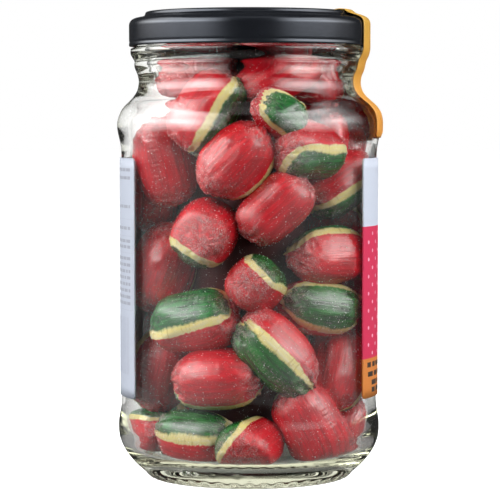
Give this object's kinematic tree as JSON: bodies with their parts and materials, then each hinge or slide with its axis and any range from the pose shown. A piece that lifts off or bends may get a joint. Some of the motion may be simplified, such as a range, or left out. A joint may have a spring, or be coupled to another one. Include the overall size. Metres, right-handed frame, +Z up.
{
  "type": "jar of boiled sweets",
  "caption": "Clear glass screw-lid jar filled with pillow-shaped boiled sweets, closed by a sheet metal lid and a paper seal strip, with two paper labels",
  "frame": {"origin": "centre of the jar's foot, on the surface it stands on", "axes": "+Z up along the jar's axis, +X to the side with the seal strip, the picture looks along +Y"},
  "size_m": [0.0739, 0.0734, 0.1293],
  "materials": {
    "clear_glass": "clear moulded glass",
    "lid_enamel": "satin black enamel",
    "boiled_sugar": "boiled sugar, satin",
    "label_paper": "coated paper",
    "info_paper": "coated paper",
    "seal_paper": "coated paper"
  },
  "bodies": {
    "root": {"jar_glass": "clear_glass", "lid": "lid_enamel", "sweets": "boiled_sugar", "front_label": "label_paper", "info_label": "info_paper", "seal_strip": "seal_paper"}
  },
  "joints": []
}
